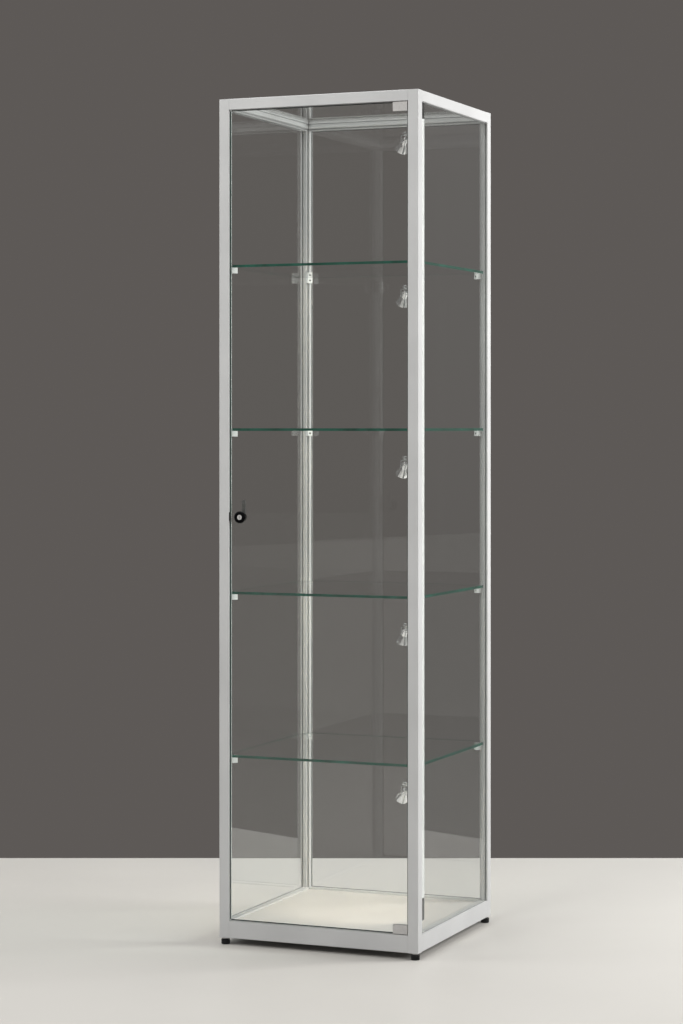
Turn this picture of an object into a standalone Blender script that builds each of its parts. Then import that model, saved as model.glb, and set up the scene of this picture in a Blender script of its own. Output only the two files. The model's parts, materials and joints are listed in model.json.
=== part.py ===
"""Glass display case: a square aluminium tower with a hinged glass door, four glass shelves and five
swivelling spotlights.

Metres, +Z up. The origin is on the floor, under the middle of the case. The door is at the front, on -Y.
"""

import math

import bmesh
import bpy
from mathutils import Matrix, Vector

# Driving dimensions of the whole case.
CASE_SIDE = 0.500
CASE_HEIGHT = 1.984
FOOT_HEIGHT = 0.016
HALF_SIDE = CASE_SIDE / 2

# The aluminium section of the posts and top rails, and the taller one of the bottom rails.
SECTION_WIDTH = 0.025
SECTION_CHAMFER = 0.007
EDGE_RADIUS = 0.0015
OUTER_LIP = 0.004
GROOVE_WIDTH = 0.005
GROOVE_DEPTH = 0.008
SLOT_MOUTH = 0.004
SLOT_LIP = 0.002
SLOT_WIDTH = 0.008
SLOT_DEPTH = 0.005
CORE_OFFSET = 0.0115
CORE_RADIUS = 0.0043
BOTTOM_RAIL_HEIGHT = 0.040
BOTTOM_RAIL_WALL = 0.0025
LEDGE_WIDTH = 0.005
LEDGE_THICKNESS = 0.003

# Gaps between pieces.
TOUCH_GAP = 0.0003
PANE_EDGE_GAP = 0.002
BOARD_GAP = 0.0005
LOCK_HOLE_GAP = 0.0005

# Panes, shelves and the base board.
PANE_THICKNESS = 0.004
DOOR_THICKNESS = 0.005
DOOR_SIDE_GAP = 0.003
DOOR_END_GAP = 0.004
SHELF_THICKNESS = 0.006
SHELF_COUNT = 4
SHELF_FIRST_TOP = 0.444
SHELF_SPACING = 0.3838
SHELF_EDGE = 0.0115
SHELF_FRONT_EDGE = 0.0165
SHELF_CORNER_GAP = 0.001
BOARD_THICKNESS = 0.016
BOARD_DEPTH_BELOW_RAIL = 0.004

# Shelf clips.
CLIP_LENGTH = 0.014
CLIP_WIDTH = 0.0125
CLIP_HEIGHT = 0.013
CLIP_SCREW_RADIUS = 0.0025
CLIP_SCREW_DEPTH = 0.003
CLIP_SLOT_CLEARANCE = 0.0003

# Door hinges.
HINGE_AXIS_X = 0.2145
HINGE_RIGHT_REACH = 0.008
HINGE_WIDTH = 0.035
HINGE_HEIGHT = 0.021
HINGE_FRONT_THICKNESS = 0.0027
HINGE_BACK_THICKNESS = 0.0037
HINGE_WEB = 0.0017
HINGE_PIN_RADIUS = 0.0015
HINGE_PIN_LENGTH = 0.0075
HINGE_PIN_CLEARANCE = 0.00008
BUSH_LENGTH = 0.012
BUSH_HEIGHT = 0.0074

# Door lock.
LOCK_X = -0.198
LOCK_HEIGHT = 1.003
LOCK_ROSE_RADIUS = 0.0140
LOCK_SLEEVE_RADIUS = 0.009
LOCK_BARREL_RADIUS = 0.006
LOCK_BARREL_CLEARANCE = 0.00008
LOCK_SLEEVE_BACK = 0.0240
LOCK_BARREL_BACK = 0.0254
LOCK_BARREL_RECESS = 0.0004
LOCK_KEYWAY_WIDTH = 0.0014
LOCK_KEYWAY_HEIGHT = 0.0070
LOCK_KEYWAY_DEPTH = 0.006
CAM_THICKNESS = 0.002
CAM_WIDTH = 0.010
CAM_REACH = 0.0405

# Spotlights, from the bottom up. Heights are those of the heads' middles.
SPOT_HEIGHTS = (0.370, 0.734, 1.119, 1.512, 1.865)
SPOT_TILTS_DEG = (46, 62, 50, 54, 45)
SPOT_REACH = 0.0445
SPOT_MIDDLE_TO_PIVOT = 0.0065
SPOT_STEM_RADIUS = 0.003
SPOT_FLANGE_RADIUS = 0.006
SPOT_FLANGE_THICKNESS = 0.0025
SPOT_KNOB_RADIUS = 0.0045
SPOT_KNOB_HALF_LENGTH = 0.004
SPOT_STEM_ABOVE_PIVOT = 0.0195
SPOT_YOKE_INSIDE = 0.0165
SPOT_YOKE_TOP = 0.0137
SPOT_YOKE_STRIP = 0.0015
SPOT_YOKE_WIDTH = 0.005
SPOT_PIN_RADIUS = 0.0015
SPOT_PIN_CLEARANCE = 0.00008
SPOT_PIN_HEAD_RADIUS = 0.00275
SPOT_PIN_HEAD_THICKNESS = 0.0012
SPOT_PIN_INNER = 0.004

# Levelling feet.
FOOT_PAD_RADIUS = 0.0103
FOOT_PAD_HEIGHT = 0.0115
FOOT_STUD_RADIUS = 0.004
FOOT_STUD_TOP = 0.046

# Cable cover on the inside of the right pane.
COVER_WIDTH = 0.030
COVER_THICKNESS = 0.0024
COVER_LOWEST = 0.135
COVER_BELOW_TOP = 0.063

# Sides of round pieces.
CORE_SIDES = 20
PIN_SIDES = 16
TURNED_STEPS = 24

CORNERS = ("front_left", "front_right", "rear_right", "rear_left")
SIDES = ("front", "right", "rear", "left")

# Levels and planes that follow from the sizes above.
BODY_BOTTOM = FOOT_HEIGHT
BOTTOM_RAIL_TOP = BODY_BOTTOM + BOTTOM_RAIL_HEIGHT
TOP_RAIL_BOTTOM = CASE_HEIGHT - SECTION_WIDTH
PANE_OUTER = OUTER_LIP + (GROOVE_WIDTH - PANE_THICKNESS) / 2
PANE_HALF_WIDTH = HALF_SIDE - SECTION_WIDTH + GROOVE_DEPTH - PANE_EDGE_GAP
DOOR_MIDDLE_Y = -HALF_SIDE + OUTER_LIP + GROOVE_WIDTH / 2
DOOR_FRONT_Y = DOOR_MIDDLE_Y - DOOR_THICKNESS / 2
DOOR_BACK_Y = DOOR_MIDDLE_Y + DOOR_THICKNESS / 2
DOOR_HALF_WIDTH = HALF_SIDE - SECTION_WIDTH - DOOR_SIDE_GAP
DOOR_BOTTOM = BOTTOM_RAIL_TOP + DOOR_END_GAP
DOOR_TOP = TOP_RAIL_BOTTOM - DOOR_END_GAP
BOARD_TOP = BOTTOM_RAIL_TOP - BOARD_DEPTH_BELOW_RAIL
BOARD_BOTTOM = BOARD_TOP - BOARD_THICKNESS
CHAMFER_MIDDLE = SECTION_WIDTH - SECTION_CHAMFER / 2

# Name: base colour, roughness, metallic, alpha.
MATERIALS = {
    "aluminium": ((0.72, 0.72, 0.71), 0.38, 1.0, 1.0),
    "clear_glass": ((0.78, 0.88, 0.85), 0.05, 0.0, 0.35),
    "white_board": ((0.88, 0.87, 0.83), 0.45, 0.0, 1.0),
    "white_plastic": ((0.85, 0.85, 0.84), 0.40, 0.0, 1.0),
    "satin_metal": ((0.62, 0.61, 0.59), 0.35, 1.0, 1.0),
    "black_nickel": ((0.05, 0.05, 0.05), 0.25, 1.0, 1.0),
    "chrome": ((0.85, 0.85, 0.86), 0.08, 1.0, 1.0),
    "black_plastic": ((0.02, 0.02, 0.02), 0.40, 0.0, 1.0),
}


def clear_scene():
    """Remove the objects that the scene starts with."""
    for obj in list(bpy.data.objects):
        bpy.data.objects.remove(obj, do_unlink=True)


def new_collection(name):
    collection = bpy.data.collections.new(name)
    bpy.context.scene.collection.children.link(collection)
    return collection


def new_material(name):
    colour, roughness, metallic, alpha = MATERIALS[name]
    material = bpy.data.materials.new(name)
    material.use_nodes = True
    shader = material.node_tree.nodes["Principled BSDF"]
    shader.inputs["Base Color"].default_value = (*colour, 1.0)
    shader.inputs["Roughness"].default_value = roughness
    shader.inputs["Metallic"].default_value = metallic
    shader.inputs["Alpha"].default_value = alpha
    return material


def add_piece(name, mesh, matrix, material_name, collection):
    """Place a mesh as a named piece with its own material."""
    obj = bpy.data.objects.new(name, mesh)
    collection.objects.link(obj)
    obj.matrix_world = matrix
    if not mesh.materials:
        mesh.materials.append(None)
    obj.material_slots[0].link = "OBJECT"
    obj.material_slots[0].material = new_material(material_name)
    return obj


def add_empty(name, location, collection):
    """A pivot on a joint's axis, which carries the pieces that turn on it."""
    empty = bpy.data.objects.new(name, None)
    empty.empty_display_size = 0.02
    collection.objects.link(empty)
    empty.location = location
    return empty


def attach(piece, pivot):
    """Parent a piece to a pivot and keep its place."""
    piece.parent = pivot
    piece.matrix_parent_inverse = Matrix.Translation(pivot.location).inverted()


def quarter_turn(index):
    return Matrix.Rotation(index * math.pi / 2, 4, "Z")


def axes_matrix(x_axis, y_axis, z_axis, location):
    """A placement from three axes and a point."""
    columns = [Vector(axis).to_4d() for axis in (x_axis, y_axis, z_axis)]
    for column in columns:
        column.w = 0.0
    columns.append(Vector((*location, 1.0)))
    return Matrix(columns).transposed()


def box_mesh(name, low, high):
    """A box between two corners."""
    low = Vector(low)
    high = Vector(high)
    size = high - low
    middle = (low + high) / 2
    mesh = bpy.data.meshes.new(name)
    bm = bmesh.new()
    bmesh.ops.create_cube(bm, size=1.0, matrix=Matrix.Translation(middle) @ Matrix.Diagonal((*size, 1.0)))
    bm.to_mesh(mesh)
    bm.free()
    return mesh


def rod_mesh(name, radius, start, end, sides):
    """A cylinder between two points."""
    start = Vector(start)
    end = Vector(end)
    direction = end - start
    turn = direction.to_track_quat("Z", "Y").to_matrix().to_4x4()
    mesh = bpy.data.meshes.new(name)
    bm = bmesh.new()
    bmesh.ops.create_cone(
        bm,
        cap_ends=True,
        segments=sides,
        radius1=radius,
        radius2=radius,
        depth=direction.length,
        matrix=Matrix.Translation((start + end) / 2) @ turn,
    )
    bm.to_mesh(mesh)
    bm.free()
    return mesh


def arc_points(centre, radius, start_deg, end_deg, segments):
    points = []
    for index in range(segments + 1):
        angle = math.radians(start_deg + (end_deg - start_deg) * index / segments)
        points.append((centre[0] + radius * math.cos(angle), centre[1] + radius * math.sin(angle)))
    return points


def circle_points(centre, radius, sides):
    return arc_points(centre, radius, 0, 360, sides)[:-1]


def welded_copy(obj, name):
    """The evaluated shape of an object as a closed mesh; the object is removed."""
    bpy.context.view_layer.update()
    depsgraph = bpy.context.evaluated_depsgraph_get()
    mesh = bpy.data.meshes.new_from_object(obj.evaluated_get(depsgraph))
    mesh.name = name
    mesh.materials.clear()
    bm = bmesh.new()
    bm.from_mesh(mesh)
    bmesh.ops.remove_doubles(bm, verts=bm.verts, dist=0.000005)
    bmesh.ops.recalc_face_normals(bm, faces=bm.faces)
    bm.to_mesh(mesh)
    bm.free()
    bpy.data.objects.remove(obj, do_unlink=True)
    return mesh


def extruded_mesh(name, outlines, length):
    """Extrude flat outlines along Z, centred on Z = 0. Outlines after the first are holes."""
    curve = bpy.data.curves.new(name, "CURVE")
    curve.dimensions = "2D"
    curve.fill_mode = "BOTH"
    curve.extrude = length / 2
    for outline in outlines:
        spline = curve.splines.new("POLY")
        spline.points.add(len(outline) - 1)
        for point, (x, y) in zip(spline.points, outline):
            point.co = (x, y, 0.0, 1.0)
        spline.use_cyclic_u = True
    obj = bpy.data.objects.new(name, curve)
    bpy.context.scene.collection.objects.link(obj)
    return welded_copy(obj, name)


def turned_object(name, profile, is_ring, steps, matrix, material_name, collection):
    """Turn a profile of (radius, height) points about Z. A ring's profile closes on itself."""
    mesh = bpy.data.meshes.new(name)
    bm = bmesh.new()
    verts = [bm.verts.new((radius, 0.0, height)) for radius, height in profile]
    for first, second in zip(verts, verts[1:]):
        bm.edges.new((first, second))
    if is_ring:
        bm.edges.new((verts[-1], verts[0]))
    bm.to_mesh(mesh)
    bm.free()
    obj = add_piece(name, mesh, matrix, material_name, collection)
    screw = obj.modifiers.new("turn", "SCREW")
    screw.axis = "Z"
    screw.steps = steps
    screw.render_steps = steps
    screw.use_merge_vertices = True
    screw.merge_threshold = 0.00001
    screw.use_normal_calculate = True
    screw.use_smooth_shade = True
    return obj


def add_helper(mesh, matrix, cutters):
    """A wire-drawn helper for a Boolean."""
    helper = bpy.data.objects.new(mesh.name, mesh)
    cutters.objects.link(helper)
    helper.matrix_world = matrix
    helper.hide_render = True
    helper.display_type = "WIRE"
    return helper


def add_boolean(obj, mesh, matrix, operation, cutters):
    helper = add_helper(mesh, matrix, cutters)
    boolean = obj.modifiers.new(operation.lower(), "BOOLEAN")
    boolean.operation = operation
    boolean.solver = "EXACT"
    boolean.object = helper


def shade_round(mesh):
    """Smooth shading that keeps the edges sharper than 30 degrees."""
    mesh.shade_smooth()
    mesh.set_sharp_from_angle(angle=math.radians(30))


def slot_point(along, depth):
    """A point of the T-slot: along the chamfer from its middle, and into the section."""
    diagonal = math.sqrt(0.5)
    return (CHAMFER_MIDDLE + (along - depth) * diagonal, CHAMFER_MIDDLE - (along + depth) * diagonal)


def section_outline():
    """Post and top rail section: outer corner at the origin, a glass groove in each inner side, and a
    T-slot in the chamfered inner corner."""
    groove_far_side = OUTER_LIP + GROOVE_WIDTH
    groove_bottom = SECTION_WIDTH - GROOVE_DEPTH
    half = [
        (SECTION_WIDTH, 0.0),
        (SECTION_WIDTH, OUTER_LIP),
        (groove_bottom, OUTER_LIP),
        (groove_bottom, groove_far_side),
        (SECTION_WIDTH, groove_far_side),
        (SECTION_WIDTH, SECTION_WIDTH - SECTION_CHAMFER),
        slot_point(SLOT_MOUTH / 2, 0.0),
        slot_point(SLOT_MOUTH / 2, SLOT_LIP),
        slot_point(SLOT_WIDTH / 2, SLOT_LIP),
        slot_point(SLOT_WIDTH / 2, SLOT_DEPTH),
    ]
    other_half = [(y, x) for x, y in reversed(half)]
    corner = arc_points((EDGE_RADIUS, EDGE_RADIUS), EDGE_RADIUS, 180, 270, 4)
    return corner + half + other_half


def bottom_rail_outline(has_ledge):
    """Bottom rail section: outer bottom corner at the origin, glass groove in the top."""
    groove_far_side = OUTER_LIP + GROOVE_WIDTH
    groove_bottom = BOTTOM_RAIL_HEIGHT - GROOVE_DEPTH
    ledge_top = BOARD_BOTTOM - BODY_BOTTOM - TOUCH_GAP
    ledge = [
        (SECTION_WIDTH, ledge_top - LEDGE_THICKNESS),
        (SECTION_WIDTH + LEDGE_WIDTH, ledge_top - LEDGE_THICKNESS),
        (SECTION_WIDTH + LEDGE_WIDTH, ledge_top),
        (SECTION_WIDTH, ledge_top),
    ]
    outline = arc_points((EDGE_RADIUS, EDGE_RADIUS), EDGE_RADIUS, 180, 270, 4)
    outline.append((SECTION_WIDTH, 0.0))
    if has_ledge:
        outline.extend(ledge)
    outline.extend(
        [
            (SECTION_WIDTH, BOTTOM_RAIL_HEIGHT),
            (groove_far_side, BOTTOM_RAIL_HEIGHT),
            (groove_far_side, groove_bottom),
            (OUTER_LIP, groove_bottom),
            (OUTER_LIP, BOTTOM_RAIL_HEIGHT),
            (0.0, BOTTOM_RAIL_HEIGHT),
        ]
    )
    return outline


def bottom_rail_core():
    """The hollow inside a bottom rail."""
    low = BOTTOM_RAIL_WALL
    right = SECTION_WIDTH - BOTTOM_RAIL_WALL
    top = BOTTOM_RAIL_HEIGHT - GROOVE_DEPTH - BOTTOM_RAIL_WALL
    return [(low, low), (right, low), (right, top), (low, top)]


def add_posts(parts):
    core = circle_points((CORE_OFFSET, CORE_OFFSET), CORE_RADIUS, CORE_SIDES)
    mesh = extruded_mesh("post", [section_outline(), core], CASE_HEIGHT - BODY_BOTTOM)
    at_corner = Matrix.Translation((-HALF_SIDE, -HALF_SIDE, (CASE_HEIGHT + BODY_BOTTOM) / 2))
    for index, corner in enumerate(CORNERS):
        add_piece(f"{corner}_post", mesh, quarter_turn(index) @ at_corner, "aluminium", parts)


def add_rails(parts):
    length = CASE_SIDE - 2 * (SECTION_WIDTH + TOUCH_GAP)
    core = circle_points((CORE_OFFSET, CORE_OFFSET), CORE_RADIUS, CORE_SIDES)
    top_mesh = extruded_mesh("top_rail", [section_outline(), core], length)
    top_place = axes_matrix((0, 1, 0), (0, 0, -1), (-1, 0, 0), (0, -HALF_SIDE, CASE_HEIGHT))
    bottom_place = axes_matrix((0, 1, 0), (0, 0, 1), (1, 0, 0), (0, -HALF_SIDE, BODY_BOTTOM))
    ledged_mesh = extruded_mesh("ledged_rail", [bottom_rail_outline(True), bottom_rail_core()], length)
    plain_mesh = extruded_mesh("plain_rail", [bottom_rail_outline(False), bottom_rail_core()], length)
    for index, side in enumerate(SIDES):
        bottom_mesh = ledged_mesh if side in ("front", "rear") else plain_mesh
        add_piece(f"top_rail_{side}", top_mesh, quarter_turn(index) @ top_place, "aluminium", parts)
        add_piece(f"bottom_rail_{side}", bottom_mesh, quarter_turn(index) @ bottom_place, "aluminium", parts)


def add_base_board(parts):
    half = HALF_SIDE - SECTION_WIDTH - BOARD_GAP
    mesh = box_mesh("base_board", (-half, -half, BOARD_BOTTOM), (half, half, BOARD_TOP))
    add_piece("base_board", mesh, Matrix(), "white_board", parts)


def add_wall_panes(parts):
    """The right, rear and left panes, which stand in the grooves of the frame."""
    front_y = -HALF_SIDE + PANE_OUTER
    bottom = BOTTOM_RAIL_TOP - GROOVE_DEPTH + PANE_EDGE_GAP
    top = TOP_RAIL_BOTTOM + GROOVE_DEPTH - PANE_EDGE_GAP
    low = (-PANE_HALF_WIDTH, front_y, bottom)
    high = (PANE_HALF_WIDTH, front_y + PANE_THICKNESS, top)
    mesh = box_mesh("wall_pane", low, high)
    for index, side in enumerate(SIDES):
        if side != "front":
            add_piece(f"glass_{side}", mesh, quarter_turn(index), "clear_glass", parts)


def cut_corner_outline(left, right, front, rear, corner_sum):
    """A rectangle whose corners are cut at 45 degrees, parallel to the posts' chamfers. corner_sum is
    the sum of a cut's distances from the case's two outer faces."""
    reach = CASE_SIDE - corner_sum
    return [
        (-reach - front, front),
        (reach + front, front),
        (right, right - reach),
        (right, reach - right),
        (reach - rear, rear),
        (rear - reach, rear),
        (left, reach + left),
        (left, -reach - left),
    ]


def add_top_pane(parts):
    """The top pane lies in the top rails' grooves, with its corners cut to clear the posts."""
    half = PANE_HALF_WIDTH
    corner_sum = 2 * SECTION_WIDTH - SECTION_CHAMFER + SHELF_CORNER_GAP
    outline = cut_corner_outline(-half, half, -half, half, corner_sum)
    mesh = extruded_mesh("glass_top", [outline], PANE_THICKNESS)
    height = CASE_HEIGHT - PANE_OUTER - PANE_THICKNESS / 2
    add_piece("glass_top", mesh, Matrix.Translation((0, 0, height)), "clear_glass", parts)


def clip_mesh(cutters):
    """A shelf clip: a block with a T-shaped foot for the post's slot. Its top is at Z = 0, and +X
    points from the chamfer into the case."""
    half_width = CLIP_WIDTH / 2
    half_neck = SLOT_MOUTH / 2 - CLIP_SLOT_CLEARANCE
    half_foot = SLOT_WIDTH / 2 - CLIP_SLOT_CLEARANCE
    foot_near = -SLOT_LIP - CLIP_SLOT_CLEARANCE
    foot_far = -SLOT_DEPTH + CLIP_SLOT_CLEARANCE
    block_end = TOUCH_GAP + CLIP_LENGTH
    half = [
        (foot_far, half_foot),
        (foot_near, half_foot),
        (foot_near, half_neck),
        (TOUCH_GAP, half_neck),
        (TOUCH_GAP, half_width),
        (block_end, half_width),
    ]
    outline = half + [(x, -y) for x, y in reversed(half)]
    block = bpy.data.objects.new("clip_block", extruded_mesh("clip_block", [outline], CLIP_HEIGHT))
    bpy.context.scene.collection.objects.link(block)
    hole_start = (block_end - CLIP_SCREW_DEPTH, 0, 0)
    hole_end = (block_end + CLIP_SCREW_DEPTH, 0, 0)
    hole = rod_mesh("clip_screw_hole", CLIP_SCREW_RADIUS, hole_start, hole_end, PIN_SIDES)
    add_boolean(block, hole, Matrix(), "DIFFERENCE", cutters)
    mesh = welded_copy(block, "shelf_clip")
    mesh.transform(Matrix.Translation((0, 0, -CLIP_HEIGHT / 2)))
    return mesh


def add_shelves(parts, cutters):
    """Glass shelves, each with a clip on every post."""
    side = HALF_SIDE - SHELF_EDGE
    front = HALF_SIDE - SHELF_FRONT_EDGE
    corner_sum = 2 * SECTION_WIDTH - SECTION_CHAMFER + math.sqrt(2) * SHELF_CORNER_GAP
    outline = cut_corner_outline(-side, side, -front, side, corner_sum)
    shelf_mesh = extruded_mesh("shelf", [outline], SHELF_THICKNESS)
    one_clip = clip_mesh(cutters)
    at_chamfer = Matrix.Translation((CHAMFER_MIDDLE - HALF_SIDE, CHAMFER_MIDDLE - HALF_SIDE, 0))
    along_diagonal = Matrix.Rotation(math.pi / 4, 4, "Z")
    for number in range(1, SHELF_COUNT + 1):
        middle = SHELF_FIRST_TOP + (number - 1) * SHELF_SPACING - SHELF_THICKNESS / 2
        clip_top = middle - SHELF_THICKNESS / 2 - TOUCH_GAP
        add_piece(f"shelf_{number}", shelf_mesh, Matrix.Translation((0, 0, middle)), "clear_glass", parts)
        raised = Matrix.Translation((0, 0, clip_top))
        for index, corner in enumerate(CORNERS):
            place = raised @ quarter_turn(index) @ at_chamfer @ along_diagonal
            add_piece(f"shelf_{number}_clip_{corner}", one_clip, place, "white_plastic", parts)


def add_door_glass(pivot, parts, cutters):
    low = (-DOOR_HALF_WIDTH - HINGE_AXIS_X, -DOOR_THICKNESS / 2, DOOR_BOTTOM)
    high = (DOOR_HALF_WIDTH - HINGE_AXIS_X, DOOR_THICKNESS / 2, DOOR_TOP)
    place = Matrix.Translation((HINGE_AXIS_X, DOOR_MIDDLE_Y, 0))
    door = add_piece("glass_door", box_mesh("glass_door", low, high), place, "clear_glass", parts)
    hole_radius = LOCK_SLEEVE_RADIUS + LOCK_HOLE_GAP
    hole_start = (LOCK_X, DOOR_FRONT_Y - DOOR_THICKNESS, LOCK_HEIGHT)
    hole_end = (LOCK_X, DOOR_BACK_Y + DOOR_THICKNESS, LOCK_HEIGHT)
    hole = rod_mesh("lock_hole", hole_radius, hole_start, hole_end, TURNED_STEPS)
    add_boolean(door, hole, Matrix(), "DIFFERENCE", cutters)
    attach(door, pivot)


def add_hinge(name, door_edge, outward, pivot, parts, cutters):
    """A clamp over a corner of the door, with a pivot pin. door_edge is the height of the glass's
    edge, and outward is +1 at the top of the door and -1 at its bottom."""
    front = -DOOR_THICKNESS / 2 - TOUCH_GAP
    back = DOOR_THICKNESS / 2 + TOUCH_GAP
    web_inside = TOUCH_GAP
    web_outside = web_inside + HINGE_WEB
    plate_end = web_outside - HINGE_HEIGHT
    outline = [
        (front - HINGE_FRONT_THICKNESS, plate_end),
        (front, plate_end),
        (front, web_inside),
        (back, web_inside),
        (back, plate_end),
        (back + HINGE_BACK_THICKNESS, plate_end),
        (back + HINGE_BACK_THICKNESS, web_outside),
        (front - HINGE_FRONT_THICKNESS, web_outside),
    ]
    mesh = extruded_mesh(name, [outline], HINGE_WIDTH)
    middle_x = HINGE_RIGHT_REACH - HINGE_WIDTH / 2
    mesh.transform(axes_matrix((0, 1, 0), (0, 0, outward), (outward, 0, 0), (middle_x, 0, 0)))
    place = Matrix.Translation((HINGE_AXIS_X, DOOR_MIDDLE_Y, door_edge))
    clamp = add_piece(name, mesh, place, "satin_metal", parts)
    pin_start = (0, 0, outward * (web_outside - HINGE_WEB / 2))
    pin_end = (0, 0, outward * (web_outside + HINGE_PIN_LENGTH))
    pin = rod_mesh(f"{name}_pin", HINGE_PIN_RADIUS, pin_start, pin_end, PIN_SIDES)
    add_boolean(clamp, pin, place, "UNION", cutters)
    attach(clamp, pivot)


def add_bushes(parts):
    """Bushes for the hinge pins, in the grooves of the front rails."""
    half_width = GROOVE_WIDTH / 2 - TOUCH_GAP
    half_length = BUSH_LENGTH / 2
    block = [
        (-half_length, -half_width),
        (half_length, -half_width),
        (half_length, half_width),
        (-half_length, half_width),
    ]
    bore = circle_points((0, 0), HINGE_PIN_RADIUS + HINGE_PIN_CLEARANCE, PIN_SIDES)
    mesh = extruded_mesh("hinge_bush", [block, bore], BUSH_HEIGHT)
    top_height = TOP_RAIL_BOTTOM + GROOVE_DEPTH - TOUCH_GAP - BUSH_HEIGHT / 2
    bottom_height = BOTTOM_RAIL_TOP - GROOVE_DEPTH + TOUCH_GAP + BUSH_HEIGHT / 2
    for name, height in (("hinge_bush_top", top_height), ("hinge_bush_bottom", bottom_height)):
        place = Matrix.Translation((HINGE_AXIS_X, DOOR_MIDDLE_Y, height))
        add_piece(name, mesh, place, "black_plastic", parts)


def lock_matrix():
    """The lock's own axes: +Z points out of the door's front, and Z = 0 is the case's front plane."""
    return axes_matrix((1, 0, 0), (0, 0, 1), (0, -1, 0), (LOCK_X, -HALF_SIDE, LOCK_HEIGHT))


def add_lock_housing(pivot, parts):
    rose_back = DOOR_FRONT_Y - TOUCH_GAP + HALF_SIDE
    bore = LOCK_BARREL_RADIUS + LOCK_BARREL_CLEARANCE
    rim = 0.0012
    profile = [
        (bore, 0.0),
        (LOCK_ROSE_RADIUS - 2 * rim, 0.0),
        (LOCK_ROSE_RADIUS, -rim),
        (LOCK_ROSE_RADIUS, -rose_back),
        (LOCK_SLEEVE_RADIUS, -rose_back),
        (LOCK_SLEEVE_RADIUS, -LOCK_SLEEVE_BACK),
        (bore, -LOCK_SLEEVE_BACK),
    ]
    housing = turned_object(
        "lock_housing", profile, True, TURNED_STEPS, lock_matrix(), "black_nickel", parts
    )
    attach(housing, pivot)


def add_lock_barrel(pivot, parts, cutters):
    profile = [
        (0.0, -LOCK_BARREL_RECESS),
        (LOCK_BARREL_RADIUS, -LOCK_BARREL_RECESS),
        (LOCK_BARREL_RADIUS, -LOCK_BARREL_BACK),
        (0.0, -LOCK_BARREL_BACK),
    ]
    barrel = turned_object(
        "lock_barrel", profile, False, TURNED_STEPS, lock_matrix(), "satin_metal", parts
    )
    half_width = LOCK_KEYWAY_WIDTH / 2
    half_height = LOCK_KEYWAY_HEIGHT / 2
    low = (-half_width, -half_height, -LOCK_KEYWAY_DEPTH)
    high = (half_width, half_height, LOCK_KEYWAY_DEPTH)
    add_boolean(barrel, box_mesh("keyway", low, high), lock_matrix(), "DIFFERENCE", cutters)
    attach(barrel, pivot)


def add_lock_cam(pivot, parts):
    """The cam points up while the door is unlocked, and hooks behind the left post when turned."""
    half_width = CAM_WIDTH / 2
    tip_centre = (0.0, CAM_REACH - half_width)
    outline = arc_points(tip_centre, half_width, 0, 180, 8)
    outline += arc_points((0.0, 0.0), LOCK_BARREL_RADIUS + 0.001, 135, 405, 16)
    mesh = extruded_mesh("lock_cam", [outline], CAM_THICKNESS)
    depth = LOCK_BARREL_BACK + TOUCH_GAP + CAM_THICKNESS / 2
    place = lock_matrix() @ Matrix.Translation((0, 0, -depth))
    cam = add_piece("lock_cam", mesh, place, "black_nickel", parts)
    attach(cam, pivot)


def spot_matrix(height):
    """A spotlight's own axes at its pivot: +X along the diagonal into the case, +Z up."""
    along = SPOT_REACH * math.sqrt(0.5)
    corner = HALF_SIDE - CHAMFER_MIDDLE
    place = Matrix.Translation((corner - along, along - corner, height))
    return place @ Matrix.Rotation(math.radians(135), 4, "Z")


def pivot_height(number):
    """The height of a spotlight's tilt pivot, which is behind the middle of its head."""
    tilt = math.radians(SPOT_TILTS_DEG[number - 1])
    return SPOT_HEIGHTS[number - 1] + SPOT_MIDDLE_TO_PIVOT * math.sin(tilt)


def yoke_mesh():
    """The bent strip that holds a head between its two arms. The pivot is at the origin, and the
    outline is in the plane of the arms."""
    inside = SPOT_YOKE_INSIDE / 2
    outside = inside + SPOT_YOKE_STRIP
    arm_end = -SPOT_YOKE_WIDTH / 2
    crosspiece_top = SPOT_YOKE_TOP + SPOT_YOKE_STRIP
    outline = [
        (-outside, arm_end),
        (-inside, arm_end),
        (-inside, SPOT_YOKE_TOP),
        (inside, SPOT_YOKE_TOP),
        (inside, arm_end),
        (outside, arm_end),
        (outside, crosspiece_top),
        (-outside, crosspiece_top),
    ]
    mesh = extruded_mesh("yoke", [outline], SPOT_YOKE_WIDTH)
    mesh.transform(axes_matrix((0, 1, 0), (0, 0, 1), (1, 0, 0), (0, 0, 0)))
    return mesh


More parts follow.
